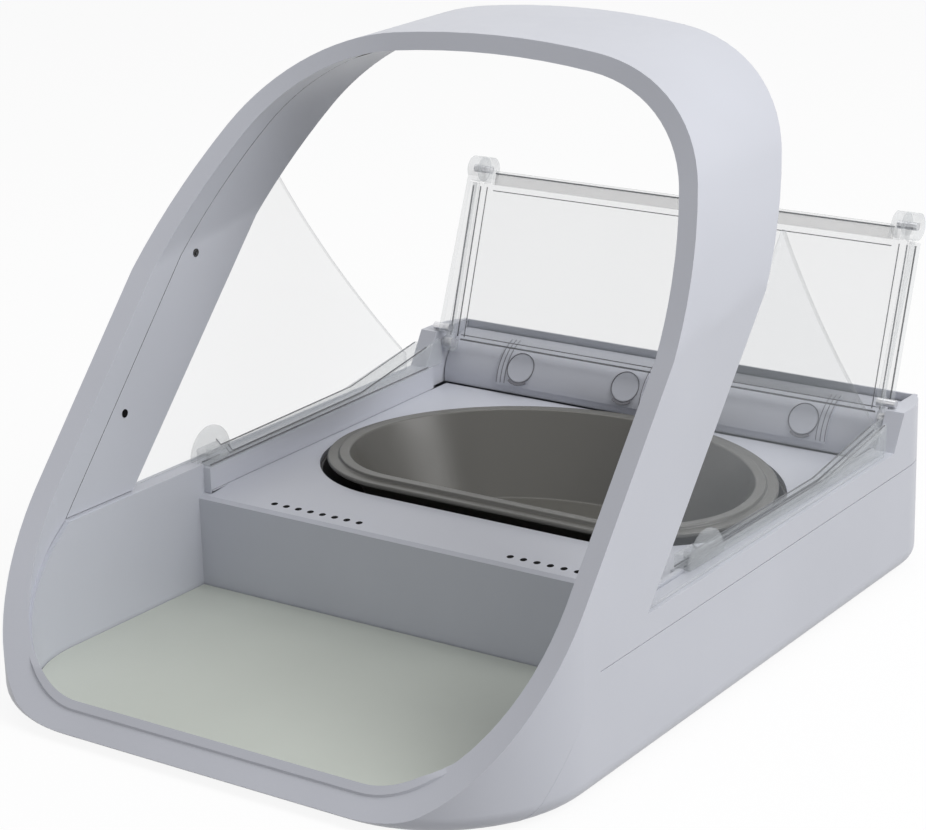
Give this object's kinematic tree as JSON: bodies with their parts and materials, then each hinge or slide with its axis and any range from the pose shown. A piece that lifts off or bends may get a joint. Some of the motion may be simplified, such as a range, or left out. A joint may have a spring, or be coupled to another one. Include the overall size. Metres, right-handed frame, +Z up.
{
  "type": "automatic pet feeder",
  "caption": "Hooped, battery-powered feeder for a small pet, with a folding clear lid over a lift-out bowl and a soft mat in front.",
  "frame": {"origin": "on the floor under the middle of the feeder", "axes": "+X to the right seen from the front, +Y to the back, +Z up"},
  "size_m": [0.2308, 0.3161, 0.2155],
  "materials": {
    "white_shell": "satin moulded",
    "gear_plastic": "moulded",
    "dark_lens": "glossy",
    "clear_plastic": "clear polycarbonate",
    "copper_coil": "enamelled",
    "dark_well": "moulded",
    "bowl_grey": "satin",
    "mat_silicone": "soft",
    "steel": "brushed",
    "cell_can": "sleeved",
    "board": "solder mask",
    "rubber": "matte",
    "button_grey": "satin"
  },
  "bodies": {
    "housing": {"upper_shell": "white_shell", "hoop_liner": "white_shell", "sensor_lenses": "dark_lens", "aerial_coil": "copper_coil", "base_shell": "white_shell", "inner_tray": "white_shell", "bowl_well": "dark_well", "left_track": "clear_plastic", "right_track": "clear_plastic", "left_shield": "clear_plastic", "right_shield": "clear_plastic", "left_bar_cover": "white_shell", "right_bar_cover": "white_shell", "rear_bar": "white_shell", "screw_plugs": "white_shell", "lid_motor": "steel", "motor_saddle": "white_shell", "gear_plate": "steel", "idler_axles": "steel", "battery_1": "cell_can", "battery_2": "cell_can", "battery_3": "cell_can", "battery_4": "cell_can", "battery_contacts": "steel", "cell_cradle": "white_shell", "control_board": "board", "switch_board": "board", "board_screws": "steel", "status_lens": "clear_plastic", "base_screws": "steel", "rubber_feet": "rubber"},
    "rear_lid": {"lid_rear_panel": "clear_plastic", "lid_hinge_pins": "steel", "lid_knuckle_pins": "steel", "lid_pinion": "gear_plastic"},
    "front_lid": {"lid_front_panel": "clear_plastic", "lid_guide_pins": "steel"},
    "upper_gear": {"upper_idler": "gear_plastic"},
    "lower_gear": {"lower_idler": "gear_plastic"},
    "rotor": {"motor_pinion": "gear_plastic", "motor_shaft": "steel"},
    "bowl_unit": {"bowl": "bowl_grey"},
    "mat_unit": {"feeding_mat": "mat_silicone"},
    "left_door": {"left_battery_door": "white_shell"},
    "right_door": {"right_battery_door": "white_shell"},
    "pairing_key": {"pairing_button": "button_grey"},
    "lid_key": {"lid_button": "button_grey"}
  },
  "joints": [
    {"name": "lid_hinge", "type": "hinge", "parent": "housing", "child": "rear_lid", "pos_m": [0, 0.131, 0.0602], "axis": [1, 0, 0], "range_deg": [0, 110.2]},
    {"name": "lid_fold", "type": "hinge", "parent": "rear_lid", "child": "front_lid", "pos_m": [0, 0.15368, 0.12917], "axis": [1, 0, 0], "range_deg": [-177.98, 0]},
    {"name": "upper_idler_spin", "type": "hinge", "parent": "housing", "child": "upper_gear", "pos_m": [0.1056, 0.1285, 0.04969], "axis": [1, 0, 0], "range_deg": [-55.5, 0]},
    {"name": "lower_idler_spin", "type": "hinge", "parent": "housing", "child": "lower_gear", "pos_m": [0.1056, 0.1285, 0.03529], "axis": [1, 0, 0], "range_deg": [0, 55.5]},
    {"name": "motor_spin", "type": "hinge", "parent": "housing", "child": "rotor", "pos_m": [0.1056, 0.1315, 0.02492], "axis": [1, 0, 0], "range_deg": [-111, 0]},
    {"name": "bowl_lift", "type": "slide", "parent": "housing", "child": "bowl_unit", "axis": [0, 0, 1], "range_m": [0, 0.0085]},
    {"name": "mat_lift", "type": "slide", "parent": "housing", "child": "mat_unit", "axis": [0, 0, 1], "range_m": [0, 0.01]},
    {"name": "left_door_slide", "type": "slide", "parent": "housing", "child": "left_door", "axis": [0, 1, 0], "range_m": [0, 0.008]},
    {"name": "right_door_slide", "type": "slide", "parent": "housing", "child": "right_door", "axis": [0, 1, 0], "range_m": [0, 0.008]},
    {"name": "pairing_press", "type": "slide", "parent": "housing", "child": "pairing_key", "axis": [0, -1, 0], "range_m": [0, 0.0012], "stiffness_N_per_m": 300, "springref_m": -0.002},
    {"name": "lid_press", "type": "slide", "parent": "housing", "child": "lid_key", "axis": [0, -1, 0], "range_m": [0, 0.0012], "stiffness_N_per_m": 300, "springref_m": -0.002}
  ],
  "couplings": [
    {"joint": "lid_fold", "follows": "lid_hinge", "ratio": -1.6105},
    {"joint": "upper_idler_spin", "follows": "lid_hinge", "ratio": -0.5},
    {"joint": "lower_idler_spin", "follows": "lid_hinge", "ratio": 0.5},
    {"joint": "motor_spin", "follows": "lid_hinge", "ratio": -1}
  ]
}
